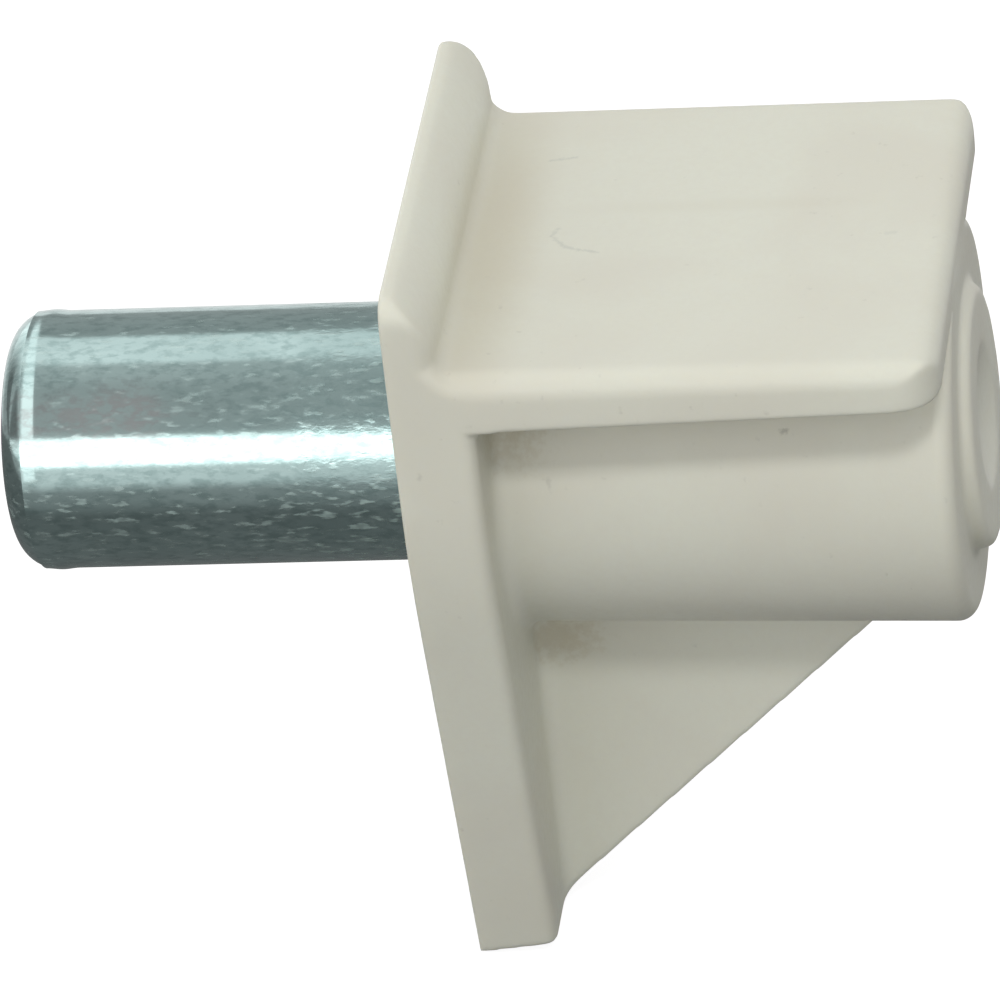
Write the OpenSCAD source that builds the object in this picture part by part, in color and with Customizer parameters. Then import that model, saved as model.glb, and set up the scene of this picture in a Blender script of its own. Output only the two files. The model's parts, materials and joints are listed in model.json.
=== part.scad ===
// Shelf support with a steel pin: a moulded bracket that carries the edge of a shelf, and a plain
// steel pin held in the bracket's boss, which pushes into a hole in the side of a cabinet.
// X runs along the pin, from the cabinet's side out under the shelf, Y runs along the shelf's edge
// and Z is up. The origin is on the pin's axis, in the plane of the flange's back face.
// All lengths are millimetres.

/* [Steel pin] */
// Diameter of the pin
pin_d = 5; // [4:0.1:6]
// Length of pin that stands out behind the flange
pin_out = 8.25; // [6:0.05:12]
// Length of pin that the boss holds
pin_in = 7.8; // [5:0.1:9]
// Diameter of the spigot that the boss holds
spigot_d = 4.6; // [3.6:0.1:4.6]
// Radius of the rounded rim at the pin's free end
pin_tip_r = 0.7; // [0.2:0.05:1.2]
// Depth that the pin's shoulder is let into the flange
shoulder_depth = 0.1; // [0.05:0.05:0.15]
// Chamfer at the spigot's end
spigot_lead = 0.4; // [0.1:0.05:0.8]
// Gap between the pin and its bore, on the radius and at each floor
pin_gap = 0.01; // [0.01:0.01:0.05]

/* [Flange] */
// Thickness of the flange that lies against the cabinet's side
flange_t = 1.55; // [1.2:0.05:2.4]
// Drop from the pin's axis to the flange's foot
flange_drop = 10.5; // [8.5:0.1:13]
// Width of the flange's foot
flange_foot_w = 5.2; // [3.6:0.1:9]
// Rise of the foot's underside from the cabinet's side to the flange's front
flange_foot_rise = 0.2; // [0:0.05:0.5]
// Height of the shoulder where the flange starts to narrow, above the pin's axis
flange_shoulder_z = 0; // [-2:0.1:2]
// Rounding of the flange's two front edges
flange_edge_r = 0.25; // [0.1:0.05:0.5]

/* [Seat] */
// Height of the shelf's seat above the pin's axis
seat_h = 4.2; // [4.2:0.1:6]
// Width of the seat along the shelf's edge
seat_w = 10.3; // [9.4:0.1:14]
// Reach of the seat from the cabinet's side
seat_reach = 10.3; // [10:0.1:14]
// Thickness of the seat where it leaves the flange
seat_root_t = 1; // [0.9:0.05:1.6]
// Thickness of the seat at its free end
seat_tip_t = 0.95; // [0.7:0.05:1.4]
// Rounding along the seat's top edges, which runs on up the lip's front edges
seat_edge_r = 0.4; // [0.1:0.05:0.6]
// Rounding of the seat's two free corners, seen from above
seat_corner_r = 0.8; // [0.2:0.05:1.5]

/* [Lip] */
// Height of the lip above the seat
lip_h = 1.65; // [0.8:0.05:2.5]
// Thickness of the lip at its root
lip_t = 0.9; // [0.7:0.05:1.4]
// Thickness of the lip at its crest
lip_crest_t = 0.3; // [0.15:0.05:0.5]
// Rounding of the lip's two top corners
lip_corner_r = 0.4; // [0.1:0.05:0.7]
// Fillet between the lip and the seat
lip_root_r = 0.55; // [0.1:0.05:0.7]

/* [Boss] */
// Diameter of the boss where it leaves the flange
boss_root_d = 7.45; // [7:0.05:8.2]
// Diameter of the boss at its free end, where it is a little wider
boss_end_d = 7.85; // [7:0.05:8.2]
// Reach of the boss's end face from the cabinet's side
boss_reach = 10.3; // [9.6:0.1:12]
// Rounding of the rim round the boss's end face
boss_rim_r = 0.35; // [0.1:0.05:0.8]
// Diameter of the raised pad on the end face
pad_d = 5.1; // [4:0.1:6]
// Height of the pad's middle above the end face
pad_h = 0.3; // [0.25:0.05:1]
// Lean of the pad, which stands out further at its lower side
pad_lean = 2.5; // [0:0.5:4]
// Rounding of the pad's rim
pad_rim_r = 0.2; // [0.05:0.05:0.25]
// Diameter of the shallow dish in the pad
dish_d = 2.8; // [2:0.1:3.4]
// Depth of the dish
dish_depth = 0.2; // [0.1:0.05:0.5]

/* [Gusset] */
// Thickness of the gusset under the boss
gusset_t = 1.8; // [1.2:0.1:3]
// Distance from the cabinet's side to where the gusset's sloping edge meets the boss
gusset_reach = 8.35; // [6:0.05:9]
// Height of the gusset's foot above the foot's lowest edge
gusset_foot_h = 0.25; // [0.05:0.05:2]

/* [Moulding] */
// Fillet in the inside corners
root_r = 0.35; // [0.1:0.05:0.5]

/* [Hidden] */
$fn = 64;
plastic = [0.84, 0.84, 0.79];
steel = [0.66, 0.70, 0.70];

pin_r = pin_d / 2;
spigot_r = spigot_d / 2;
boss_root_r = boss_root_d / 2;
boss_end_r = boss_end_d / 2;
// Radius of the boss where the gusset's sloping edge meets it
boss_gusset_r = boss_root_r
    + (boss_end_r - boss_root_r) * (gusset_reach - flange_t) / (boss_reach - boss_rim_r - flange_t);
pad_r = pad_d / 2;
// Overlap that makes neighbouring forms of the moulding one solid
bite = 0.2;
lip_top = seat_h + lip_h;
// The flange's top lies inside the seat, below the seat's rounded edges
flange_top = seat_h - seat_edge_r;
// The gusset's foot never hangs below the flange's sloping underside
gusset_foot_z = max(gusset_foot_h, flange_foot_rise) - flange_drop;

// Outline of the flange, as [y, z], anticlockwise from the shoulder on the +Y side
flange_outline = [
    [seat_w / 2, flange_top],
    [-seat_w / 2, flange_top],
    [-seat_w / 2, flange_shoulder_z],
    [-flange_foot_w / 2, -flange_drop],
    [flange_foot_w / 2, -flange_drop],
    [seat_w / 2, flange_shoulder_z],
];

// Radius of an arc that leaves a wall upright and has run in by `inward` once it is `rise` higher
function arc_r(inward, rise) = (inward * inward + rise * rise) / (2 * inward);

// What rounding takes off an outside corner at the origin, where the form fills x < 0, y < 0
module corner_nick(r) {
    difference() {
        translate([-r, -r]) square(r + bite);
        translate([-r, -r]) circle(r);
    }
}

// The fillet in an inside corner at the origin, where the walls fill x < 0 and y < 0
module corner_web(r) {
    difference() {
        translate([-bite, -bite]) square(r + bite);
        translate([r, r]) circle(r);
    }
}

// Extrudes an [x, z] profile to a width along Y, centred
module across(width) {
    translate([0, width / 2, 0]) rotate([90, 0, 0]) linear_extrude(width) children();
}

// Extrudes a [y, z] profile along X, from x = 0
module outward(length) {
    rotate([90, 0, 90]) linear_extrude(length) children();
}

// Turns a [radius, x] profile round the pin's axis
module round_axis() {
    rotate([0, 90, 0]) rotate_extrude() children();
}

// Rounds the flange's front edge along the line from p to q, both [y, z], with the flange on its left
module flange_edge_cut(p, q) {
    run = q - p;
    length = norm(run);
    translate([flange_t, p[0], p[1]])
        rotate([atan2(run[1], run[0]), 0, 0])
            translate([0, -bite, 0])
                rotate([-90, 0, 0])
                    linear_extrude(length + 2 * bite) corner_nick(flange_edge_r);
}

// Side view of the flange, whose underside rises to the front
module flange_profile() {
    polygon([
        [0, -flange_drop],
        [flange_t, flange_foot_rise - flange_drop],
        [flange_t, flange_top],
        [0, flange_top],
    ]);
}

// Plate against the cabinet's side, which narrows below the pin to a blunt foot
module flange() {
    difference() {
        intersection() {
            outward(flange_t) polygon(flange_outline);
            across(seat_w) flange_profile();
        }
        for (side = [0, 1]) mirror([0, side, 0]) {
            flange_edge_cut(flange_outline[1], flange_outline[2]);
            flange_edge_cut(flange_outline[2], flange_outline[3]);
        }
    }
}

// Side view of the seat: a level top, an underside that thins towards the free end
module seat_profile() {
    difference() {
        polygon([
            [0, seat_h],
            [0, seat_h - seat_root_t],
            [flange_t + root_r, seat_h - seat_root_t],
            [seat_reach, seat_h - seat_tip_t],
            [seat_reach, seat_h],
        ]);
        translate([seat_reach, seat_h]) corner_nick(seat_edge_r);
    }
}

// Rectangle as wide as the seat that runs along X from x = 0 and has its two far corners rounded
module strip(length, corner_r) {
    difference() {
        translate([0, -seat_w / 2]) square([length, seat_w]);
        for (side = [0, 1]) mirror([0, side]) translate([length, seat_w / 2]) corner_nick(corner_r);
    }
}

// Plate that the shelf lies on, with its top edges and free corners rounded
module seat() {
    intersection() {
        across(seat_w) seat_profile();
        outward(seat_reach) rotate(90) strip(seat_h, seat_edge_r);
        linear_extrude(seat_h + bite) strip(seat_reach, seat_corner_r);
    }
}

// Side view of the lip: an upright back, and a front that leans in to the crest on one arc
module lip_profile() {
    rise = lip_h - lip_root_r;
    front_r = arc_r(lip_t - lip_crest_t, rise);
    translate([0, flange_top - bite]) square([lip_t, seat_h + lip_root_r - flange_top + bite]);
    intersection() {
        translate([0, seat_h]) square([lip_t, lip_h]);
        translate([lip_t - front_r, seat_h + lip_root_r]) circle(front_r, $fn = 128);
    }
}

// Low wall along the back of the seat, which stops the shelf's edge
module lip() {
    intersection() {
        across(seat_w) lip_profile();
        outward(lip_t) rotate(90) strip(lip_top, lip_corner_r);
        linear_extrude(lip_top + bite) strip(lip_t, seat_edge_r);
    }
}

// Fillet between the lip and the seat, whose ends carry the seat's rounded edges up into the lip
module lip_root() {
    wall = 2 * seat_edge_r + lip_root_r;
    intersection() {
        translate([lip_t + lip_root_r, 0, seat_h + lip_root_r]) rotate([90, 0, 0])
            rotate_extrude() translate([lip_root_r + wall, 0]) mirror([1, 0]) strip(wall, seat_edge_r);
        across(seat_w) translate([lip_t - seat_edge_r, flange_top]) square(seat_edge_r + lip_root_r);
    }
}

// Half section of the boss, which widens from the flange to its rounded rim
module boss_profile() {
    difference() {
        polygon([
            [0, 0],
            [boss_root_r, 0],
            [boss_root_r, flange_t],
            [boss_end_r, boss_reach - boss_rim_r],
            [boss_end_r, boss_reach],
            [0, boss_reach],
        ]);
        translate([boss_end_r, boss_reach]) corner_nick(boss_rim_r);
    }
}

// Half section of the pad, let into the boss far enough for its lean
module pad_profile() {
    sunk = bite + pad_r * sin(pad_lean);
    difference() {
        translate([0, -sunk]) square([pad_r, pad_h + sunk]);
        translate([pad_r, pad_h]) corner_nick(pad_rim_r);
    }
}

// Half section of what the dish takes out of the pad
module dish_profile() {
    dish_r = arc_r(dish_depth, dish_d / 2);
    intersection() {
        translate([0, pad_h - dish_depth + dish_r]) circle(dish_r, $fn = 128);
        square([pad_r, pad_h + bite]);
    }
}

// Turns a [radius, height] profile round the leaning middle line of the pad
module round_pad() {
    translate([boss_reach, 0, 0]) rotate([0, -pad_lean, 0]) round_axis() children();
}

// Round body that holds the pin, with a fillet where it leaves the flange and a dished pad on its end
module boss() {
    difference() {
        union() {
            round_axis() boss_profile();
            round_pad() pad_profile();
        }
        round_pad() dish_profile();
    }
    round_axis() translate([boss_root_r, flange_t]) corner_web(root_r);
}

// Side view of the gusset: a triangle between the flange's front and the underside of the boss
module gusset_profile() {
    run = gusset_reach - flange_t;
    rise = -boss_gusset_r - gusset_foot_z;
    // The sloping edge runs on into the boss, as far as the boss's underside curves up at the gusset's sides
    sunk = 1.5 * (boss_root_r - sqrt(boss_root_r * boss_root_r - gusset_t * gusset_t / 4));
    polygon([
        [flange_t - bite, -boss_root_r + sunk],
        [flange_t - bite, gusset_foot_z],
        [flange_t, gusset_foot_z],
        [gusset_reach + sunk * run / rise, -boss_gusset_r + sunk],
    ]);
}

// Rib that props the boss and the seat from below
module gusset() {
    across(gusset_t) gusset_profile();
    intersection() {
        across(seat_w) gusset_profile();
        translate([0, 0, -flange_drop]) linear_extrude(flange_drop)
            for (side = [0, 1]) mirror([0, side]) translate([flange_t, gusset_t / 2]) corner_web(root_r);
    }
}

// Fillet between the flange's front and the underside of the seat
module seat_root() {
    across(seat_w - 2 * flange_edge_r)
        translate([flange_t, seat_h - seat_root_t]) mirror([0, 1]) corner_web(root_r);
}

// Half section of the pin, grown by a gap where it is the shape of the pin's bore
module pin_section(gap) {
    translate([0, -pin_out]) square([pin_r + gap, pin_out + shoulder_depth + gap]);
    square([spigot_r + gap, pin_in + gap]);
}

// Moulding: flange, seat, lip, boss and gusset in one piece, bored for the pin
module moulded_bracket() {
    color(plastic) difference() {
        union() {
            flange();
            seat();
            seat_root();
            lip();
            lip_root();
            boss();
            gusset();
        }
        round_axis() intersection() {
            pin_section(pin_gap);
            translate([0, -bite]) square([boss_root_r, boss_reach]);
        }
    }
}

// Round bar with a rounded rim at its free end, and a spigot with a chamfer at its held end
module steel_pin() {
    color(steel) round_axis() difference() {
        pin_section(0);
        translate([pin_r, -pin_out]) mirror([0, 1]) corner_nick(pin_tip_r);
        polygon([
            [spigot_r, pin_in - spigot_lead],
            [spigot_r - spigot_lead, pin_in],
            [spigot_r + bite, pin_in + bite],
        ]);
    }
}

moulded_bracket();
steel_pin();
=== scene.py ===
"""Looks, studio and camera of a shelf support: a moulded bracket on a zinc-plated steel pin.

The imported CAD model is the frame. X runs along the pin and out under the shelf, Y runs along the
shelf's edge and Z is up. Blender works in metres, and the sizes that a maker would quote are in
millimetres, so they are multiplied by MM where a mesh or a light is made.
"""

from __future__ import annotations

import json
import logging
import math
from dataclasses import dataclass, field
from enum import Enum

import bmesh
import bpy
from mathutils import Matrix, Vector

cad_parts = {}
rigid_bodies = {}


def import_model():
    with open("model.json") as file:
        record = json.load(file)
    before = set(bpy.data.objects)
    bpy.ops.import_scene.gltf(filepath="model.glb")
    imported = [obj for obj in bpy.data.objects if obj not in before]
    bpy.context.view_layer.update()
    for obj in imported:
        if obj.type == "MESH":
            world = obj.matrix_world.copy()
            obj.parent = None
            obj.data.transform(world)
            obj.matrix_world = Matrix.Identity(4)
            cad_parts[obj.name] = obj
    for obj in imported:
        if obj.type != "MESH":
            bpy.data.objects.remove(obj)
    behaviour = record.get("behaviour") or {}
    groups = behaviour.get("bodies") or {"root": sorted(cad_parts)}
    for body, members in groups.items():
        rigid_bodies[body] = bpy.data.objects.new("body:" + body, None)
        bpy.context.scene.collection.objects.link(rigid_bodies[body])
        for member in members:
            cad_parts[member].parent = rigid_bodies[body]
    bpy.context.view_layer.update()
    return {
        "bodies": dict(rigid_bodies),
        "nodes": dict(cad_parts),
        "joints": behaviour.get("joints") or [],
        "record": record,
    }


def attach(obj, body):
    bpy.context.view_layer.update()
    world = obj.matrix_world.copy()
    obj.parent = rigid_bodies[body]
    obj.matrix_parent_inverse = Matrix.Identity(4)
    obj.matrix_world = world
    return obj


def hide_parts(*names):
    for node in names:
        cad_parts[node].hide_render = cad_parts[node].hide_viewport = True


LOG = logging.getLogger("shelf_support")
MM = 0.001
ROOT_BODY = "root"

Colour = tuple[float, float, float]
Point = tuple[float, float, float]
Span = tuple[float, float]
Value = "bpy.types.NodeSocket | float | Colour"

WHITE: Colour = (1.0, 1.0, 1.0)
# Where nearly all of a noise's values lie.
NOISE_SWING: Span = (0.3, 0.7)


class CadNode(Enum):
    """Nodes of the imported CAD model."""

    BRACKET = "moulded_bracket"
    PIN = "steel_pin"


class Slot(Enum):
    """Material slots of the record."""

    PLASTIC = "moulded_plastic"
    STEEL = "plated_steel"


def ramp(value: float, start: float, end: float) -> float:
    """Gives how far a value is from start to end, held between 0 and 1."""
    return min(1.0, max(0.0, (value - start) / (end - start)))


def put(name: str, data: bpy.types.ID) -> bpy.types.Object:
    """Makes an object and links it to the scene.

    Args:
        name: The object's name.
        data: Its mesh, lamp or camera.

    Returns:
        The new object.
    """
    made = bpy.data.objects.new(name, data)
    bpy.context.scene.collection.objects.link(made)
    return made


# ---------------------------------------------------------------------------------------------
# Node trees
# ---------------------------------------------------------------------------------------------


class NodeGraph:
    """Adds and joins the nodes of one tree."""

    def __init__(self, tree: bpy.types.NodeTree) -> None:
        """Keeps the tree that the nodes go into."""
        self.tree = tree

    def add(self, kind: str, **settings: object) -> bpy.types.Node:
        """Adds a node.

        Args:
            kind: Blender's name of the node type.
            settings: Properties of the node itself, such as its operation.

        Returns:
            The new node.
        """
        node = self.tree.nodes.new(kind)
        for name, value in settings.items():
            setattr(node, name, value)
        return node

    def feed(self, socket: bpy.types.NodeSocket, value: Value) -> None:
        """Links a socket to another one, or gives it a plain value.

        Args:
            socket: The input.
            value: What it gets. A colour of three numbers becomes opaque.
        """
        if isinstance(value, bpy.types.NodeSocket):
            self.tree.links.new(value, socket)
        elif socket.type == "RGBA" and len(value) == 3:
            socket.default_value = (*value, 1.0)
        else:
            socket.default_value = value

    def math(
        self, operation: str, first: Value, second: Value = 0.0, clamp: bool = False
    ) -> bpy.types.NodeSocket:
        """Adds a Math node.

        Args:
            operation: The node's operation.
            first: First input.
            second: Second input, for the operations that have one.
            clamp: Keeps the result between 0 and 1.

        Returns:
            The node's result.
        """
        node = self.add("ShaderNodeMath", operation=operation, use_clamp=clamp)
        for socket, value in zip(node.inputs, (first, second)):
            self.feed(socket, value)
        return node.outputs[0]

    def plus(self, first: Value, second: Value) -> bpy.types.NodeSocket:
        """Adds two numbers."""
        return self.math("ADD", first, second)

    def times(self, first: Value, second: Value) -> bpy.types.NodeSocket:
        """Multiplies two numbers."""
        return self.math("MULTIPLY", first, second)

    def vector(
        self, operation: str, first: Value, second: Value = (0.0, 0.0, 0.0)
    ) -> bpy.types.NodeSocket:
        """Adds a Vector Math node.

        Args:
            operation: The node's operation.
            first: First vector.
            second: Second vector, or the factor of a SCALE.

        Returns:
            The number of a LENGTH, DISTANCE or DOT_PRODUCT, and the vector of any other operation.
        """
        node = self.add("ShaderNodeVectorMath", operation=operation)
        self.feed(node.inputs[0], first)
        self.feed(node.inputs["Scale"] if operation == "SCALE" else node.inputs[1], second)
        number = operation in ("LENGTH", "DISTANCE", "DOT_PRODUCT")
        return node.outputs["Value" if number else "Vector"]

    def span(
        self, value: Value, low: Value, high: Value, to_low: float = 0.0, to_high: float = 1.0
    ) -> bpy.types.NodeSocket:
        """Maps a number smoothly from one span to another, and holds it at both ends.

        Args:
            value: The number.
            low: Start of the span it comes from.
            high: End of the span it comes from.
            to_low: What the start becomes.
            to_high: What the end becomes.

        Returns:
            The mapped number.
        """
        node = self.add("ShaderNodeMapRange", interpolation_type="SMOOTHSTEP")
        for socket, number in zip(node.inputs, (value, low, high, to_low, to_high)):
            self.feed(socket, number)
        return node.outputs[0]

    def blend(self, factor: Value, first: Value, second: Value) -> bpy.types.NodeSocket:
        """Mixes two colours.

        Args:
            factor: Share of the second colour.
            first: First colour.
            second: Second colour.

        Returns:
            The mixed colour.
        """
        node = self.add("ShaderNodeMix", data_type="RGBA")
        sockets = (node.inputs[0], node.inputs[6], node.inputs[7])
        for socket, value in zip(sockets, (factor, first, second)):
            self.feed(socket, value)
        return node.outputs[2]

    def noise(
        self,
        place: Value,
        scale: Value,
        detail: float = 2.0,
        roughness: float = 0.5,
        distortion: float = 0.0,
    ) -> bpy.types.NodeSocket:
        """Adds a Noise Texture.

        Args:
            place: Where on the surface.
            scale: Waves per unit of the place.
            detail: Octaves.
            roughness: Strength of each finer octave.
            distortion: How far the noise bends itself.

        Returns:
            The noise, about 0.5.
        """
        node = self.add("ShaderNodeTexNoise")
        values = {
            "Vector": place,
            "Scale": scale,
            "Detail": detail,
            "Roughness": roughness,
            "Distortion": distortion,
        }
        for name, value in values.items():
            self.feed(node.inputs[name], value)
        return node.outputs["Fac"]

    def relief(self, height: Value, strength: float, depth: float) -> bpy.types.NodeSocket:
        """Adds a Bump node.

        Args:
            height: Height at each place, as a share of the depth.
            strength: Strength of the effect.
            depth: Depth in millimetres.

        Returns:
            The bent normal.
        """
        node = self.add("ShaderNodeBump")
        node.inputs["Strength"].default_value = strength
        node.inputs["Distance"].default_value = depth * MM
        self.feed(node.inputs["Height"], height)
        return node.outputs[0]

    def millimetres(self) -> bpy.types.NodeSocket:
        """Gives the place on the surface in the row's frame, in millimetres."""
        place = self.add("ShaderNodeTexCoord").outputs["Object"]
        return self.vector("SCALE", place, 1.0 / MM)

    def parts(self, vector: Value) -> list[bpy.types.NodeSocket]:
        """Splits a vector into its X, Y and Z.

        Args:
            vector: The vector.

        Returns:
            Its three parts.
        """
        node = self.add("ShaderNodeSeparateXYZ")
        self.feed(node.inputs[0], vector)
        return list(node.outputs)

    def seen_straight(self) -> bpy.types.NodeSocket:
        """Gives 1 for what the camera sees itself or through something clear, and 0 elsewhere."""
        rays = self.add("ShaderNodeLightPath").outputs
        return self.math("MAXIMUM", rays["Is Camera Ray"], rays["Is Transmission Ray"])

    def effect(self, effect: "SurfaceEffect", output: str, **inputs: Value) -> bpy.types.NodeSocket:
        """Places a shared effect.

        Args:
            effect: The effect.
            output: Name of the output that is wanted.
            inputs: Values or sockets for its inputs, by name.

        Returns:
            The output's socket.
        """
        node = self.add("ShaderNodeGroup", node_tree=effect.tree())
        for name, value in inputs.items():
            self.feed(node.inputs[name], value)
        return node.outputs[output]


class SurfaceEffect:
    """An effect that several finishes share, as one shader node group."""

    name = ""
    inputs: dict[str, tuple[str, object]] = {}
    outputs: tuple[str, ...] = ()

    def tree(self) -> bpy.types.NodeTree:
        """Gives the effect's node group, and makes it the first time.

        Returns:
            The node group.
        """
        known = bpy.data.node_groups.get(self.name)
        if known is not None:
            return known
        tree = bpy.data.node_groups.new(self.name, "ShaderNodeTree")
        for name, (kind, value) in self.inputs.items():
            socket = tree.interface.new_socket(name=name, in_out="INPUT", socket_type=kind)
            socket.default_value = value
        for name in self.outputs:
            tree.interface.new_socket(name=name, in_out="OUTPUT", socket_type="NodeSocketFloat")
        graph = NodeGraph(tree)
        source = graph.add("NodeGroupInput")
        target = graph.add("NodeGroupOutput")
        for name, socket in self.draw(graph, source).items():
            graph.feed(target.inputs[name], socket)
        return tree

    def draw(self, graph: NodeGraph, source: bpy.types.Node) -> dict[str, bpy.types.NodeSocket]:
        """Adds the effect's own nodes.

        Args:
            graph: The group's graph.
            source: The group's input node.

        Returns:
            A socket for each output, by name.
        """
        raise NotImplementedError


class Clouding(SurfaceEffect):
    """Slow and fine unevenness of a surface, stretched along the axes as wanted."""

    name = "clouding"
    inputs = {
        "Place": ("NodeSocketVector", (0.0, 0.0, 0.0)),
        "Stretch": ("NodeSocketVector", (1.0, 1.0, 1.0)),
        "Waves": ("NodeSocketFloat", 1.0),
    }
    outputs = ("Slow", "Fine")
    finer = 7.0

    def draw(self, graph: NodeGraph, source: bpy.types.Node) -> dict[str, bpy.types.NodeSocket]:
        """Adds a slow noise and a finer one.

        Args:
            graph: The group's graph.
            source: The group's input node.

        Returns:
            Both noises.
        """
        place = graph.vector("MULTIPLY", source.outputs["Place"], source.outputs["Stretch"])
        waves = source.outputs["Waves"]
        slow = graph.noise(place, waves, detail=3.0, distortion=0.4)
        fine = graph.noise(place, graph.times(waves, self.finer), detail=4.0, roughness=0.6)
        return {"Slow": slow, "Fine": fine}


class Flecks(SurfaceEffect):
    """Scattered ragged marks, closer together in some places than in others."""

    name = "flecks"
    inputs = {
        "Place": ("NodeSocketVector", (0.0, 0.0, 0.0)),
        "Stretch": ("NodeSocketVector", (1.0, 1.0, 1.0)),
        "Per_mm": ("NodeSocketFloat", 1.0),
        "Rarity": ("NodeSocketFloat", 0.6),
        "Cluster": ("NodeSocketFloat", 0.5),
    }
    outputs = ("Mask",)
    crowding = 0.05
    softness = 0.2

    def draw(self, graph: NodeGraph, source: bpy.types.Node) -> dict[str, bpy.types.NodeSocket]:
        """Adds a noise of which only the peaks are left.

        Args:
            graph: The group's graph.
            source: The group's input node.

        Returns:
            The marks.
        """
        place = graph.vector("MULTIPLY", source.outputs["Place"], source.outputs["Stretch"])
        marks = graph.noise(place, source.outputs["Per_mm"])
        cluster = source.outputs["Cluster"]
        crowd = graph.span(cluster, *NOISE_SWING, self.crowding, -self.crowding)
        low = graph.plus(source.outputs["Rarity"], crowd)
        return {"Mask": graph.span(marks, low, graph.plus(low, self.softness))}


class Stroke(SurfaceEffect):
    """One straight scuff or scratch between two points, uneven along its length."""

    name = "stroke"
    inputs = {
        "Place": ("NodeSocketVector", (0.0, 0.0, 0.0)),
        "Start": ("NodeSocketVector", (0.0, 0.0, 0.0)),
        "End": ("NodeSocketVector", (1.0, 0.0, 0.0)),
        "Width": ("NodeSocketFloat", 0.1),
        "Ragged": ("NodeSocketFloat", 0.5),
    }
    outputs = ("Mask",)
    widths = (0.5, 1.4)
    gaps = (0.25, 0.6)
    faintest = 0.35

    def draw(self, graph: NodeGraph, source: bpy.types.Node) -> dict[str, bpy.types.NodeSocket]:
        """Adds the distance to the line between the points, with a ragged edge.

        Args:
            graph: The group's graph.
            source: The group's input node.

        Returns:
            The stroke.
        """
        start = source.outputs["Start"]
        run = graph.vector("SUBTRACT", source.outputs["End"], start)
        reach = graph.vector("SUBTRACT", source.outputs["Place"], start)
        gone = graph.vector("DOT_PRODUCT", reach, run)
        whole = graph.vector("DOT_PRODUCT", run, run)
        along = graph.math("DIVIDE", gone, whole, clamp=True)
        away = graph.vector("DISTANCE", reach, graph.vector("SCALE", run, along))
        ragged = source.outputs["Ragged"]
        swell = graph.span(ragged, *NOISE_SWING, *self.widths)
        line = graph.span(away, graph.times(source.outputs["Width"], swell), 0.0)
        return {"Mask": graph.times(line, graph.span(ragged, *self.gaps, self.faintest, 1.0))}


class SoftSpot(SurfaceEffect):
    """A soft spot round a point, with a cloudy edge, for tints, dirt and painted shade."""

    name = "soft_spot"
    inputs = {
        "Place": ("NodeSocketVector", (0.0, 0.0, 0.0)),
        "Centre": ("NodeSocketVector", (0.0, 0.0, 0.0)),
        "Reach": ("NodeSocketVector", (1.0, 1.0, 1.0)),
        "Cloud": ("NodeSocketFloat", 0.5),
    }
    outputs = ("Mask",)
    bend = 0.25
    core = 0.1

    def draw(self, graph: NodeGraph, source: bpy.types.Node) -> dict[str, bpy.types.NodeSocket]:
        """Adds a falloff from the centre that a noise bends.

        Args:
            graph: The group's graph.
            source: The group's input node.

        Returns:
            The stain.
        """
        away = graph.vector("SUBTRACT", source.outputs["Place"], source.outputs["Centre"])
        share = graph.vector("LENGTH", graph.vector("DIVIDE", away, source.outputs["Reach"]))
        bend = graph.span(source.outputs["Cloud"], *NOISE_SWING, -self.bend, self.bend)
        return {"Mask": graph.span(graph.plus(share, bend), 1.0, self.core)}


CLOUDING = Clouding()
FLECKS = Flecks()
STROKE = Stroke()
SOFT_SPOT = SoftSpot()
EVEN_CLOUD = 0.5


# ---------------------------------------------------------------------------------------------
# Finishes
# ---------------------------------------------------------------------------------------------


@dataclass(frozen=True)
class Scuff:
    """A scuff as a run of straight strokes, in millimetres in the row's frame."""

    points: tuple[Point, ...]
    width: float
    strength: float


@dataclass(frozen=True)
class StainAndShade:
    """A soft spot of colour, for tints, dirt and painted shade: its middle and its reach along each
    axis, in millimetres.
    """

    centre: Point
    reach: Point
    strength: float
    cloudy: bool = True


def start_finish(slot: Slot) -> tuple[bpy.types.Material, NodeGraph, bpy.types.Node]:
    """Starts a material.

    Args:
        slot: The record's slot, which names the material.

    Returns:
        The material, its graph and its Principled shader.
    """
    material = bpy.data.materials.new(slot.value)
    material.use_nodes = True
    tree = material.node_tree
    return material, NodeGraph(tree), tree.nodes["Principled BSDF"]


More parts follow.
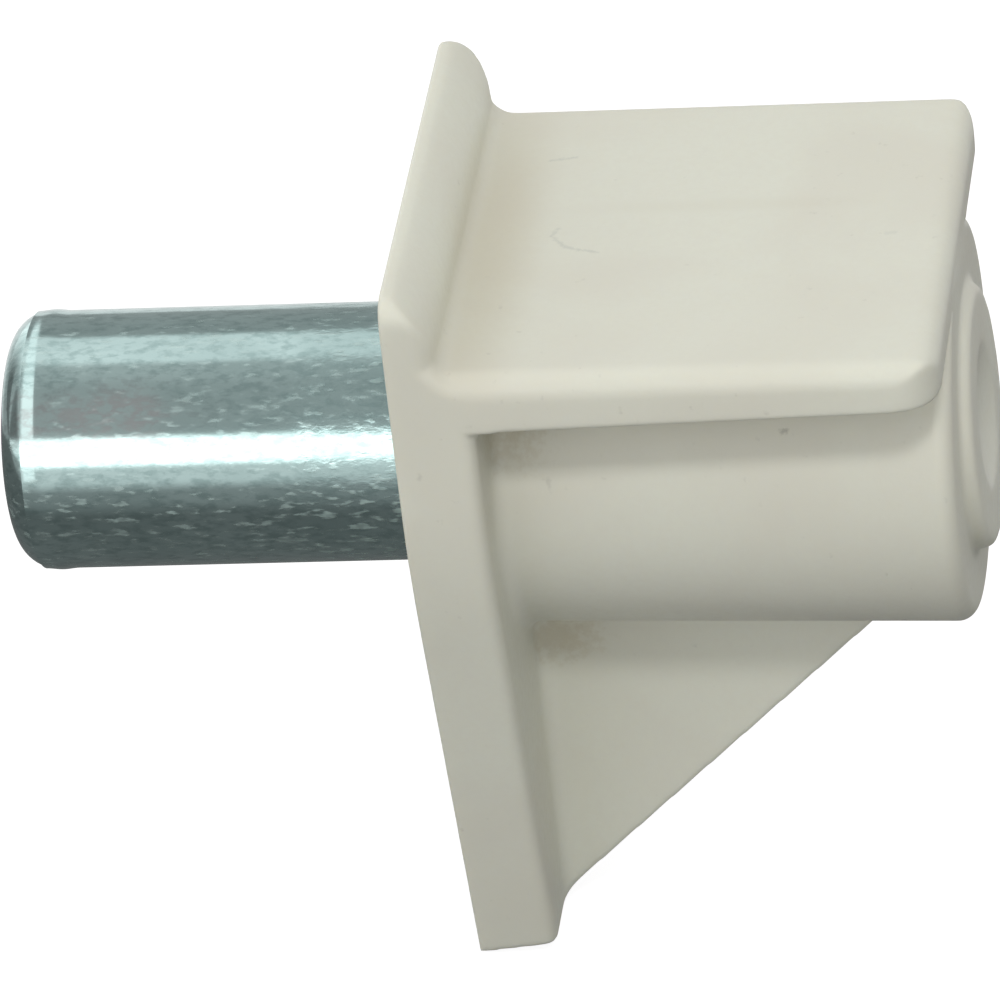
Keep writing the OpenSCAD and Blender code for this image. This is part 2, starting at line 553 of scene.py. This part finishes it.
@dataclass(frozen=True)
class SatinPlastic:
    """Off-white plastic as it leaves the mould, with a few marks of handling and painted shade in
    its creases and over a sink mark.
    """

    colour: Colour = (0.680, 0.686, 0.592)
    shade: Colour = (0.655, 0.646, 0.555)
    slow_waves: float = 0.22
    slow_shading: Span = (0.35, 0.7)
    fine_waves: float = 0.9
    fine_shading: Span = (0.3, 0.75)
    fine_shade: float = 0.35
    grain_waves: float = 9.0
    stain_and_shade_colour: Colour = (0.47, 0.41, 0.28)
    # Warm soft spots of painted shade: two in the inside corners under the seat and beside the rib,
    # with some dirt,
    # one along the crease under the seat's front, one over a sink mark on the seat, and one in the
    # crease at
    # the lip's root, with some dirt.
    stains_and_shade: tuple[StainAndShade, ...] = (
        StainAndShade((1.9, -3.5, 2.2), (1.1, 1.0, 1.2), 0.45),
        StainAndShade((1.9, -0.95, -4.2), (1.3, 0.5, 0.8), 0.45),
        StainAndShade((5.6, -2.7, 2.75), (4.6, 0.9, 0.7), 0.22),
        StainAndShade((5.8, 1.06, 4.2), (4.2, 0.35, 0.4), 0.08),
        StainAndShade((1.45, -0.4, 4.3), (1.3, 8.5, 0.9), 0.36, cloudy=False),
    )
    scuff_colour: Colour = (0.42, 0.44, 0.40)
    scuff_roughness: float = 0.4
    scuffs: tuple[Scuff, ...] = (
        Scuff(((2.25, 2.93, 4.2), (2.75, 3.05, 4.2)), 0.07, 0.35),
        Scuff(
            (
                (2.69, 0.34, 4.2),
                (2.57, 0.08, 4.2),
                (2.88, -0.34, 4.2),
                (3.18, -0.47, 4.2),
                (3.5, -0.56, 4.2),
            ),
            0.08,
            0.35,
        ),
        Scuff(((9.0, -0.17, 4.2), (9.15, -0.15, 4.2)), 0.1, 0.2),
    )
    speck_colour: Colour = (0.20, 0.19, 0.16)
    speck: Scuff = Scuff(((7.12, -3.38, 1.85), (7.17, -3.38, 1.85)), 0.09, 0.5)
    dust_per_mm: float = 4.0
    dust_rarity: float = 0.70
    dust_strength: float = 0.25
    roughness: Span = (0.40, 0.50)
    relief_strength: float = 0.25
    relief_depth: float = 0.012
    refraction: float = 1.49
    specular: float = 0.45
    glow: float = 0.25
    glow_colours: Point = (1.0, 0.85, 0.6)
    glow_depth: float = 0.35

    def mark(
        self, graph: NodeGraph, scuff: Scuff, place: Value, ragged: Value
    ) -> list[bpy.types.NodeSocket]:
        """Adds the strokes of one scuff.

        Args:
            graph: The material's graph.
            scuff: The scuff.
            place: Place on the surface, in millimetres.
            ragged: The noise that breaks up the strokes.

        Returns:
            Each stroke, as strong as the scuff.
        """
        strokes = []
        for start, end in zip(scuff.points, scuff.points[1:]):
            line = graph.effect(
                STROKE,
                "Mask",
                Place=place,
                Start=start,
                End=end,
                Width=scuff.width,
                Ragged=ragged,
            )
            strokes.append(graph.times(line, scuff.strength))
        return strokes

    def stained_and_shaded(
        self, graph: NodeGraph, clean: Value, place: Value, fine: Value
    ) -> bpy.types.NodeSocket:
        """Adds the soft spots: painted shade, some with dirt.

        Args:
            graph: The material's graph.
            clean: The colour without them.
            place: Place on the surface, in millimetres.
            fine: The noise that bends the edges of the cloudy ones.

        Returns:
            The colour with them.
        """
        colour = clean
        for stain_and_shade in self.stains_and_shade:
            spot = graph.effect(
                SOFT_SPOT,
                "Mask",
                Place=place,
                Centre=stain_and_shade.centre,
                Reach=stain_and_shade.reach,
                Cloud=fine if stain_and_shade.cloudy else EVEN_CLOUD,
            )
            colour = graph.blend(graph.times(spot, stain_and_shade.strength), colour, self.stain_and_shade_colour)
        return colour

    def build(self) -> bpy.types.Material:
        """Makes the material.

        Returns:
            The material.
        """
        material, graph, shader = start_finish(Slot.PLASTIC)
        place = graph.millimetres()
        slow = graph.effect(CLOUDING, "Slow", Place=place, Waves=self.slow_waves)
        fine = graph.effect(CLOUDING, "Fine", Place=place, Waves=self.fine_waves)
        grain = graph.noise(place, self.grain_waves, detail=3.0, roughness=0.65)
        slowly = graph.span(slow, *self.slow_shading)
        finely = graph.span(fine, *self.fine_shading, 0.0, self.fine_shade)
        colour = graph.blend(slowly, self.colour, self.shade)
        colour = graph.blend(finely, colour, self.shade)
        # Painted shade in the creases and over a sink mark, some with dirt.
        colour = self.stained_and_shaded(graph, colour, place, fine)
        scuffed: Value = 0.0
        for scuff in self.scuffs:
            for stroke in self.mark(graph, scuff, place, grain):
                scuffed = graph.math("MAXIMUM", scuffed, stroke)
        colour = graph.blend(scuffed, colour, self.scuff_colour)
        for stroke in self.mark(graph, self.speck, place, grain):
            colour = graph.blend(stroke, colour, self.speck_colour)
        dust = graph.effect(
            FLECKS,
            "Mask",
            Place=place,
            Per_mm=self.dust_per_mm,
            Rarity=self.dust_rarity,
            Cluster=slow,
        )
        colour = graph.blend(graph.times(dust, self.dust_strength), colour, self.speck_colour)
        graph.feed(shader.inputs["Base Color"], colour)
        rough = graph.span(fine, *NOISE_SWING, *self.roughness)
        rough = graph.plus(rough, graph.times(scuffed, self.scuff_roughness))
        graph.feed(shader.inputs["Roughness"], rough)
        uneven = graph.plus(grain, slow)
        normal = graph.relief(uneven, self.relief_strength, self.relief_depth)
        graph.feed(shader.inputs["Normal"], normal)
        shader.inputs["IOR"].default_value = self.refraction
        shader.inputs["Specular IOR Level"].default_value = self.specular
        shader.inputs["Subsurface Weight"].default_value = self.glow
        shader.inputs["Subsurface Radius"].default_value = self.glow_colours
        shader.inputs["Subsurface Scale"].default_value = self.glow_depth * MM
        return material


@dataclass(frozen=True)
class ZincPlate:
    """Bright zinc plate on a drawn bar: finely mottled, with flecks and rubs that run along it.

    The rubbed span lies along the pin and the span below is a height, both in millimetres.
    """

    colour: Colour = (0.535, 0.70, 0.685)
    dull: Colour = (0.32, 0.45, 0.44)
    pale: Colour = (0.70, 0.84, 0.79)
    bronze: Colour = (0.58, 0.56, 0.56)
    tint: StainAndShade = StainAndShade((-5.9, -1.85, 1.65), (3.2, 0.75, 0.75), 0.6)
    tint_gaps: Span = (0.42, 0.62)
    tint_faintest: float = 0.25
    cloud_stretch: Point = (0.5, 1.0, 1.0)
    cloud_waves: float = 0.9
    slow_dulling: float = 0.35
    fine_dulling: float = 0.75
    fine_dulled: Span = (0.42, 0.68)
    fleck_stretch: Point = (0.35, 1.0, 1.0)
    flecks_per_mm: float = 8.0
    fleck_rarity: float = 0.55
    # The flecks are rougher spots, and their paleness is partly painted glint. flecks_above leaves
    # less of it above
    # the lower side, where the plate shows dark surroundings.
    fleck_paleness: float = 0.45
    fleck_roughness: float = 0.40
    fleck_height: float = 0.35
    flecks_above: float = 0.40
    rubbed_span: Span = (-2.9, -1.9)
    rubbed_dulling: float = 0.25
    rubbed_crowding: float = 0.10
    rubbed_roughness: float = 0.05
    below_span: Span = (0.7, -0.2)
    below_crowding: float = 0.14
    roughness: Span = (0.10, 0.16)
    roughened: Span = (0.35, 0.7)
    relief_strength: float = 0.5
    relief_depth: float = 0.012
    relief_share: Span = (0.15, 0.9)

    def build(self) -> bpy.types.Material:
        """Makes the material.

        Returns:
            The material.
        """
        material, graph, shader = start_finish(Slot.STEEL)
        place = graph.millimetres()
        x, _, z = graph.parts(place)
        rubbed = graph.span(x, *self.rubbed_span)
        below = graph.span(z, *self.below_span)
        clouding = {"Place": place, "Stretch": self.cloud_stretch, "Waves": self.cloud_waves}
        slow = graph.effect(CLOUDING, "Slow", **clouding)
        fine = graph.effect(CLOUDING, "Fine", **clouding)
        crowd = graph.plus(slow, graph.times(rubbed, self.rubbed_crowding))
        crowd = graph.plus(crowd, graph.times(below, self.below_crowding))
        flecks = graph.effect(
            FLECKS,
            "Mask",
            Place=place,
            Stretch=self.fleck_stretch,
            Per_mm=self.flecks_per_mm,
            Rarity=self.fleck_rarity,
            Cluster=crowd,
        )
        # Painted glints, partly: the flecks are stronger on the lower side, where the plate shows
        # dark surroundings.
        flecks_with_painted_glints = graph.times(flecks, graph.span(below, 0.0, 1.0, self.flecks_above, 1.0))
        spot = graph.effect(
            SOFT_SPOT,
            "Mask",
            Place=place,
            Centre=self.tint.centre,
            Reach=self.tint.reach,
            Cloud=slow,
        )
        tinted = graph.times(spot, graph.span(fine, *self.tint_gaps, self.tint_faintest, 1.0))
        slowly = graph.span(slow, *NOISE_SWING, 0.0, self.slow_dulling)
        finely = graph.span(fine, *self.fine_dulled, 0.0, self.fine_dulling)
        colour = graph.blend(slowly, self.colour, self.dull)
        colour = graph.blend(finely, colour, self.dull)
        colour = graph.blend(graph.times(rubbed, self.rubbed_dulling), colour, self.dull)
        colour = graph.blend(graph.times(tinted, self.tint.strength), colour, self.bronze)
        # Painted glints, partly: the flecks turn paler.
        colour = graph.blend(graph.times(flecks_with_painted_glints, self.fleck_paleness), colour, self.pale)
        graph.feed(shader.inputs["Base Color"], colour)
        shader.inputs["Metallic"].default_value = 1.0
        rough = graph.span(fine, *self.roughened, *self.roughness)
        rough = graph.plus(rough, graph.times(flecks_with_painted_glints, self.fleck_roughness))
        rough = graph.plus(rough, graph.times(rubbed, self.rubbed_roughness))
        graph.feed(shader.inputs["Roughness"], rough)
        uneven = graph.plus(fine, graph.times(flecks, self.fleck_height))
        uneven = graph.times(uneven, graph.span(rubbed, 0.0, 1.0, *self.relief_share))
        normal = graph.relief(uneven, self.relief_strength, self.relief_depth)
        graph.feed(shader.inputs["Normal"], normal)
        return material


# ---------------------------------------------------------------------------------------------
# Sub-assemblies
# ---------------------------------------------------------------------------------------------


def dress(
    piece: bpy.types.Object, material: bpy.types.Material, node: CadNode
) -> None:
    """Gives a piece its material and its place in the frame.

    Args:
        piece: The piece.
        material: Its finish.
        node: The CAD node that it stands for.
    """
    piece.data.materials.clear()
    piece.data.materials.append(material)
    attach(piece, ROOT_BODY)
    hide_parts(node.value)
    LOG.info("%s: %d faces, stands for %s", piece.name, len(piece.data.polygons), node.value)


@dataclass
class MouldedBracket:
    """The moulding, with the small soft edges that a mould gives. Sizes are in millimetres.

    The boss's root and end are each an x and a radius. The fields from flange_front on say how
    the flange's sides, the seat's root and the lip are eased before the edges are softened.
    """

    name: str = "bracket_moulding"
    voxel: float = 0.05
    smoothing_rounds: int = 24
    face_budget: int = 185_000
    facet_depth: float = 0.03
    boss_root: tuple[float, float] = (1.55, 3.725)
    boss_end: tuple[float, float] = (9.95, 3.925)
    boss_rim: float = 0.35
    boss_fillet: float = 0.35
    flange_front: float = 1.9
    shoulder_span: float = 1.6
    shoulder_slope: float = 0.243
    shoulder_zone: Span = (3.95, 4.75)
    seat_run: Span = (1.9, 10.3)
    seat_top: float = 4.2
    seat_underside: float = 3.2
    root_drop: float = 0.20
    root_run: Span = (1.15, 1.45)
    root_rise: Span = (2.6, 3.0)
    beside_boss: Span = (2.2, 3.2)
    lip_root: float = 0.9
    lip_crest: float = 0.3
    lip_fillet: float = 0.55
    lip_height: float = 1.65
    slim_root: float = 0.92
    slim_crest: float = 0.26
    slim_fillet: float = 0.33
    slim_reach: float = 2.5
    finish: SatinPlastic = field(default_factory=SatinPlastic)

    def true_boss(self, mesh: bpy.types.Mesh) -> None:
        """Moves what lies just off the boss's wall and rim onto their true round surfaces.

        The CAD mesh has them in flats, which a satin surface would show as bands. What is off by
        less than facet_depth moves in full, and what is off by twice that stays.

        Args:
            mesh: The mesh, in millimetres.
        """
        (root_x, root_r), (end_x, end_r) = self.boss_root, self.boss_end
        ring_r = end_r - self.boss_rim
        for vertex in mesh.vertices:
            x, radius = vertex.co.x, math.hypot(vertex.co.y, vertex.co.z)
            if x < root_x + self.boss_fillet or radius < ring_r:
                continue
            if x < end_x:
                off = radius - root_r - (end_r - root_r) * (x - root_x) / (end_x - root_x)
                shift = Vector((0.0, -off))
            else:
                away = Vector((x - end_x, radius - ring_r))
                off = away.length - self.boss_rim
                shift = away * (-off / max(away.length, self.facet_depth))
            hold = min(1.0, max(0.0, 2.0 - abs(off) / self.facet_depth))
            grow = (radius + shift.y * hold) / radius
            vertex.co = (x + shift.x * hold, vertex.co.y * grow, vertex.co.z * grow)

    def ease_shoulder(self, mesh: bpy.types.Mesh) -> None:
        """Turns the bend in the flange's sides, where it starts to narrow, into a soft curve.

        Args:
            mesh: The mesh, in millimetres.
        """
        for vertex in mesh.vertices:
            left = self.shoulder_span - abs(vertex.co.z)
            side = abs(vertex.co.y)
            if left <= 0.0 or side <= self.shoulder_zone[0] or vertex.co.x > self.flange_front:
                continue
            hold = ramp(side, *self.shoulder_zone)
            shift = hold * self.shoulder_slope * left * left / (4.0 * self.shoulder_span)
            vertex.co.y *= (side - shift) / side

    @staticmethod
    def lip_front(root: float, crest: float, rise: float, height: float) -> float:
        """Gives how far the lip's front stands out at a height above its fillet.

        Args:
            root: Thickness of the lip just above the fillet.
            crest: Thickness of the lip at its crest.
            rise: Height of the crest above the fillet.
            height: The height that is asked for.

        Returns:
            The thickness there, on the one arc that leaves the root upright.
        """
        run = root - crest
        radius = (run * run + rise * rise) / (2.0 * run)
        return root - radius + math.sqrt(max(0.0, radius * radius - height * height))

    def slim_lip(self, mesh: bpy.types.Mesh) -> None:
        """Makes the lip's front one longer arc down to a smaller fillet than the CAD model has.

        Args:
            mesh: The mesh, in millimetres.
        """
        old_rise = self.lip_height - self.lip_fillet
        new_rise = self.lip_height - self.slim_fillet
        shrink = self.slim_fillet / self.lip_fillet
        old_run = self.slim_reach - self.lip_root - self.lip_fillet
        stretch = (self.slim_reach - self.slim_root - self.slim_fillet) / old_run
        for vertex in mesh.vertices:
            x, _, z = vertex.co
            if x >= self.slim_reach or z <= self.seat_underside:
                continue
            up = z - self.seat_top
            above = max(0.0, up - self.lip_fillet)
            new_above = above * new_rise / old_rise
            if x <= self.lip_root:
                old_front = self.lip_front(self.lip_root, self.lip_crest, old_rise, above)
                new_front = self.lip_front(self.slim_root, self.slim_crest, new_rise, new_above)
                new_x = x * new_front / old_front
            else:
                out = x - self.lip_root
                past = max(0.0, out - self.lip_fillet)
                new_x = self.slim_root + min(out, self.lip_fillet) * shrink + past * stretch
            hold = ramp(z, self.seat_underside, self.seat_top)
            vertex.co.x = x + (new_x - x) * hold
            if up > 0.0:
                vertex.co.z = self.seat_top + min(up, self.lip_fillet) * shrink + new_above

    def thicken_seat(self, mesh: bpy.types.Mesh) -> None:
        """Lowers the seat's underside towards its root, where it lies clear of the boss.

        Args:
            mesh: The mesh, in millimetres.
        """
        for vertex in mesh.vertices:
            x, y, z = vertex.co
            share = 1.0 - ramp(x, *self.seat_run)
            share *= ramp(x, *self.root_run) * ramp(abs(y), *self.beside_boss)
            share *= ramp(z, self.seat_top, self.seat_underside) * ramp(z, *self.root_rise)
            vertex.co.z = z - self.root_drop * share

    def soften(self, source: bpy.types.Mesh) -> bpy.types.Mesh:
        """Rounds every edge of the CAD solid by about the width of a voxel.

        Args:
            source: The CAD solid's mesh, in metres. It is left as it is.

        Returns:
            A new mesh of even faces, in metres.
        """
        blank = source.copy()
        blank.transform(Matrix.Scale(1.0 / MM, 4))
        carrier = put("bracket_blank", blank)
        remesh = carrier.modifiers.new("even_faces", "REMESH")
        remesh.mode = "VOXEL"
        remesh.voxel_size = self.voxel
        even = bpy.data.meshes.new_from_object(self.evaluated(carrier))
        for reshape in (self.ease_shoulder, self.slim_lip, self.thicken_seat):
            reshape(even)
        carrier.modifiers.clear()
        carrier.data = even
        smooth = carrier.modifiers.new("soft_edges", "SMOOTH")
        smooth.iterations = self.smoothing_rounds
        full = self.evaluated(carrier)
        triangles = 2 * len(full.to_mesh().polygons)
        full.to_mesh_clear()
        thin = carrier.modifiers.new("fewer_faces", "DECIMATE")
        thin.ratio = min(1.0, self.face_budget / triangles)
        mesh = bpy.data.meshes.new_from_object(self.evaluated(carrier))
        self.true_boss(mesh)
        mesh.transform(Matrix.Scale(MM, 4))
        bpy.data.objects.remove(carrier)
        bpy.data.meshes.remove(blank)
        bpy.data.meshes.remove(even)
        return mesh

    @staticmethod
    def evaluated(carrier: bpy.types.Object) -> bpy.types.Object:
        """Gives an object with its modifiers applied."""
        return carrier.evaluated_get(bpy.context.evaluated_depsgraph_get())

    def build(self, frame: dict) -> bpy.types.Object:
        """Builds and dresses the bracket.


        Returns:
            The piece that stands for the bracket's CAD node.
        """
        mesh = self.soften(frame["nodes"][CadNode.BRACKET.value].data)
        mesh.name = self.name
        mesh.shade_smooth()
        piece = put(self.name, mesh)
        dress(piece, self.finish.build(), CadNode.BRACKET)
        return piece


@dataclass
class SteelPin:
    """The pin, turned from its half section. Sizes are in millimetres, the angle in degrees."""

    name: str = "steel_pin_turned"
    radius: float = 2.5
    reach_out: float = 8.25
    tip_radius: float = 0.7
    tip_steps: int = 14
    collar_height: float = 0.025
    collar_half_width: float = 0.32
    collar_from_tip: float = 0.8
    collar_steps: int = 6
    body_rows: int = 24
    spigot_radius: float = 2.3
    shoulder: float = 0.1
    reach_in: float = 7.8
    spigot_lead: float = 0.4
    segments: int = 192
    sharp_from: float = 35.0
    finish: ZincPlate = field(default_factory=ZincPlate)

    def half_section(self) -> list[tuple[float, float]]:
        """Draws the outline, from the middle of the free end to that of the held end.

        Returns:
            Points as x and radius.
        """
        tip = -self.reach_out
        flat = self.radius - self.tip_radius
        outline = [(tip, 0.0), (tip, flat / 2), (tip, flat)]
        for step in range(1, self.tip_steps + 1):
            angle = math.pi / 2 * step / self.tip_steps
            back = self.tip_radius * (1 - math.cos(angle))
            outline.append((tip + back, flat + self.tip_radius * math.sin(angle)))
        collar = tip + self.collar_from_tip
        for step in range(-self.collar_steps, self.collar_steps + 1):
            share = step / self.collar_steps
            lift = self.collar_height / 2 * (1 + math.cos(math.pi * share))
            outline.append((collar + self.collar_half_width * share, self.radius + lift))
        body = collar + self.collar_half_width
        for step in range(1, self.body_rows + 1):
            outline.append((body + (self.shoulder - body) * step / self.body_rows, self.radius))
        outline.append((self.shoulder, self.spigot_radius))
        outline.append((self.reach_in - self.spigot_lead, self.spigot_radius))
        outline.append((self.reach_in, self.spigot_radius - self.spigot_lead))
        outline.append((self.reach_in, 0.0))
        return outline

    def ring(self, work: bmesh.types.BMesh, x: float, radius: float) -> list[bmesh.types.BMVert]:
        """Adds the points of one ring round the X axis.

        Args:
            work: The mesh that is being made.
            x: Where on the axis.
            radius: The ring's radius. At 0 the ring is one point.

        Returns:
            The ring's points.
        """
        points = []
        for step in range(self.segments if radius > 0.0 else 1):
            angle = 2 * math.pi * step / self.segments
            place = (x * MM, radius * math.cos(angle) * MM, radius * math.sin(angle) * MM)
            points.append(work.verts.new(place))
        return points

    def turn(self) -> bpy.types.Mesh:
        """Turns the half section round the X axis.

        Returns:
            The pin's mesh, in metres, closed at both ends.
        """
        work = bmesh.new()
        rings = [self.ring(work, x, radius) for x, radius in self.half_section()]
        for near, far in zip(rings, rings[1:]):
            for step in range(self.segments):
                after = (step + 1) % self.segments
                corners = [near[step % len(near)], near[after % len(near)]]
                corners += [far[after % len(far)], far[step % len(far)]]
                work.faces.new(list(dict.fromkeys(corners)))
        bmesh.ops.recalc_face_normals(work, faces=work.faces)
        mesh = bpy.data.meshes.new(self.name)
        work.to_mesh(mesh)
        work.free()
        return mesh

    def build(self) -> bpy.types.Object:
        """Builds and dresses the pin.

        Returns:
            The piece that stands for the pin's CAD node.
        """
        mesh = self.turn()
        mesh.shade_smooth()
        mesh.set_sharp_from_angle(angle=math.radians(self.sharp_from))
        piece = put(self.name, mesh)
        dress(piece, self.finish.build(), CadNode.PIN)
        return piece


# ---------------------------------------------------------------------------------------------
# Studio
# ---------------------------------------------------------------------------------------------


@dataclass(frozen=True)
class Softbox:
    """A square white lamp that faces the object. The distance and the side are in millimetres."""

    name: str
    towards: Point
    distance: float
    side: float
    watts: float

    def build(self) -> None:
        """Makes the lamp. Polished metal sees the cards instead of it."""
        light = bpy.data.lights.new(self.name, "AREA")
        light.shape = "SQUARE"
        light.size = self.side * MM
        light.energy = self.watts
        lamp = put(self.name, light)
        direction = Vector(self.towards).normalized()
        lamp.location = direction * self.distance * MM
        lamp.rotation_euler = direction.to_track_quat("Z", "Y").to_euler()
        lamp.visible_glossy = False


@dataclass(frozen=True)
class Card:
    """Where one stretch of the surroundings that polished metal shows gives way to the next.

    The angle turns about the pin's axis: 0 is level in front, 90 overhead, 180 level behind.
    """

    start: float
    softness: float
    level: float


@dataclass(frozen=True)
class SideCard:
    """A card beside the pin's free end.

    Near and far are the direction's part along the pin, and the rise is an angle as a card's.
    """

    near: float = -0.72
    near_softness: float = 0.25
    far: float = -0.28
    far_softness: float = 0.03
    rise: Span = (-12.0, -4.0)
    level: float = 1.35


@dataclass
class Studio:
    """Soft light from the walls of a small tent, a key lamp and the floor.

    The floor's sizes are in millimetres. The mouth is where the surroundings that polished metal
    shows grow darker beyond the pin's free end, by the direction's part along the pin.
    """

    floor_level: float = -10.55
    floor_size: float = 900.0
    floor_grey: float = 0.22
    floor_white: float = 0.92
    long_walls: float = 1.88
    pin_side_wall: float = 1.10
    free_side_wall: float = 0.15
    ceiling: float = 0.95
    all_round: float = 0.05
    behind: float = 0.85
    cards: tuple[Card, ...] = (
        Card(-151.0, 2.0, 0.155),
        Card(-34.0, 10.0, 0.30),
        Card(-13.0, 6.0, 0.80),
        Card(7.0, 2.5, 2.60),
        Card(31.5, 2.5, 0.45),
        Card(52.0, 12.0, 0.44),
        Card(84.0, 10.0, 0.55),
        Card(101.0, 3.0, 1.00),
        Card(134.0, 2.5, 0.39),
    )
    mouth: Span = (-0.85, -0.50)
    mouth_levels: Span = (0.45, 1.0)
    darkest: float = 0.15
    side_card: SideCard = SideCard()
    lamps: tuple[Softbox, ...] = (
        Softbox("key", (0.177, -0.618, 0.766), 260.0, 30.0, 0.188),
    )

    def tent(self, graph: NodeGraph, x: Value, y: Value, z: Value) -> bpy.types.NodeSocket:
        """Adds the soft light of the tent's walls and ceiling.

        Args:
            graph: The world's graph.
            x: The direction's part along the pin.
            y: The direction's part along the shelf's edge.
            z: The direction's part upwards.

        Returns:
            The level in that direction.
        """
        low = graph.math("SUBTRACT", 1.0, graph.math("ABSOLUTE", z))
        long_walls = graph.times(graph.math("ABSOLUTE", y), self.long_walls)
        pin_side = graph.times(graph.math("MINIMUM", x, 0.0), -self.pin_side_wall)
        free_side = graph.times(graph.math("MAXIMUM", x, 0.0), self.free_side_wall)
        walls = graph.plus(graph.times(long_walls, low), graph.plus(pin_side, free_side))
        overhead = graph.math("MAXIMUM", z, 0.0)
        ceiling = graph.times(graph.times(overhead, overhead), self.ceiling)
        return graph.plus(graph.plus(graph.times(low, walls), ceiling), self.all_round)

    def reflected(self, graph: NodeGraph, x: Value, y: Value, z: Value) -> bpy.types.NodeSocket:
        """Adds what polished metal shows of the studio.

        Args:
            graph: The world's graph.
            x: The direction's part along the pin.
            y: The direction's part along the shelf's edge.
            z: The direction's part upwards.

        Returns:
            The level in that direction.
        """
        angle = graph.math("ARCTAN2", z, graph.times(y, -1.0))
        turn = graph.times(angle, 180.0 / math.pi)
        shown: Value = self.behind
        before = self.behind
        for card in self.cards:
            low, high = card.start - card.softness, card.start + card.softness
            shown = graph.plus(shown, graph.span(turn, low, high, 0.0, card.level - before))
            before = card.level
        shown = graph.times(shown, graph.span(x, *self.mouth, *self.mouth_levels))
        shown = graph.math("MAXIMUM", shown, self.darkest)
        side = self.side_card
        rises = graph.span(x, side.near - side.near_softness, side.near + side.near_softness)
        falls = graph.span(x, side.far + side.far_softness, side.far - side.far_softness)
        beside = graph.times(graph.times(rises, falls), graph.span(turn, *side.rise))
        return graph.math("MAXIMUM", shown, graph.times(beside, side.level))

    def build_world(self) -> None:
        """Makes the surroundings.

        They are white to the camera, soft light to the object and cards to polished metal.
        """
        world = bpy.data.worlds.new("studio")
        bpy.context.scene.world = world
        world.use_nodes = True
        world.node_tree.nodes.clear()
        graph = NodeGraph(world.node_tree)
        x, y, z = graph.parts(graph.add("ShaderNodeTexCoord").outputs["Generated"])
        glossy = graph.add("ShaderNodeLightPath").outputs["Is Glossy Ray"]
        matt = graph.math("SUBTRACT", 1.0, glossy)
        light = graph.times(matt, self.tent(graph, x, y, z))
        level = graph.plus(light, graph.times(glossy, self.reflected(graph, x, y, z)))
        surroundings = graph.add("ShaderNodeBackground")
        graph.feed(surroundings.inputs["Color"], WHITE)
        graph.feed(
            surroundings.inputs["Strength"], graph.math("MAXIMUM", level, graph.seen_straight())
        )
        out = graph.add("ShaderNodeOutputWorld")
        graph.feed(out.inputs["Surface"], surroundings.outputs[0])

    def floor_finish(self) -> bpy.types.Material:
        """Makes the floor's material, which is white to the camera and keeps a faint shadow.

        Returns:
            The material.
        """
        material = bpy.data.materials.new("pale_floor")
        material.use_nodes = True
        material.node_tree.nodes.clear()
        graph = NodeGraph(material.node_tree)
        plain = graph.add("ShaderNodeBsdfDiffuse")
        graph.feed(plain.inputs["Color"], (self.floor_grey,) * 3)
        white = graph.add("ShaderNodeEmission")
        graph.feed(white.inputs["Color"], WHITE)
        strength = graph.times(graph.seen_straight(), self.floor_white)
        graph.feed(white.inputs["Strength"], strength)
        surface = graph.add("ShaderNodeAddShader")
        graph.feed(surface.inputs[0], plain.outputs[0])
        graph.feed(surface.inputs[1], white.outputs[0])
        out = graph.add("ShaderNodeOutputMaterial")
        graph.feed(out.inputs["Surface"], surface.outputs[0])
        return material

    def build_floor(self) -> None:
        """Makes the floor. Polished metal sees the cards instead of it."""
        half, level = self.floor_size / 2 * MM, self.floor_level * MM
        flat = ((-half, -half), (half, -half), (half, half), (-half, half))
        mesh = bpy.data.meshes.new("floor")
        mesh.from_pydata([(x, y, level) for x, y in flat], [], [(0, 1, 2, 3)])
        mesh.materials.append(self.floor_finish())
        floor = put("floor", mesh)
        floor.visible_glossy = False

    def build(self) -> None:
        """Makes the surroundings, the lamps and the floor."""
        self.build_world()
        for lamp in self.lamps:
            lamp.build()
        self.build_floor()
        LOG.info("studio: %d lamps, %d cards", len(self.lamps), len(self.cards))


@dataclass(frozen=True)
class StudioCamera:
    """The camera, by the direction it looks from. Lengths are in millimetres, angles in degrees.

    The azimuth turns from -Y towards +X, and the roll turns the picture. The aim is where the
    picture's centre lies from the origin, across and up the picture.
    """

    lens: float = 360.0
    sensor: float = 36.0
    azimuth: float = 10.074
    elevation: float = 31.684
    roll: float = 6.774
    distance: float = 192.776
    aim: tuple[float, float] = (1.154, -1.365)
    clip: Span = (10.0, 10_000.0)

    def build(self) -> None:
        """Makes the camera and hands it to the scene."""
        turn, lift, roll = (math.radians(a) for a in (self.azimuth, self.elevation, self.roll))
        level = Vector((math.cos(turn), math.sin(turn), 0.0))
        back = Vector(
            (math.sin(turn) * math.cos(lift), -math.cos(turn) * math.cos(lift), math.sin(lift))
        )
        upright = back.cross(level)
        right = level * math.cos(roll) - upright * math.sin(roll)
        up = level * math.sin(roll) + upright * math.cos(roll)
        eye = (right * self.aim[0] + up * self.aim[1] + back * self.distance) * MM
        data = bpy.data.cameras.new("studio_camera")
        data.sensor_width = self.sensor
        data.lens = self.lens
        data.clip_start, data.clip_end = (end * MM for end in self.clip)
        camera = put("studio_camera", data)
        axes = Matrix((right, up, back)).transposed().to_4x4()
        camera.matrix_world = Matrix.Translation(eye) @ axes
        bpy.context.scene.camera = camera


def main() -> None:
    """Builds the looks round the frame, in order."""
    logging.basicConfig(level=logging.INFO, format="%(message)s")
    bpy.context.scene.view_settings.view_transform = "Standard"
    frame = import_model()
    StudioCamera().build()
    Studio().build()
    pieces = (MouldedBracket().build(frame), SteelPin().build())


if __name__ == "__main__":
    main()
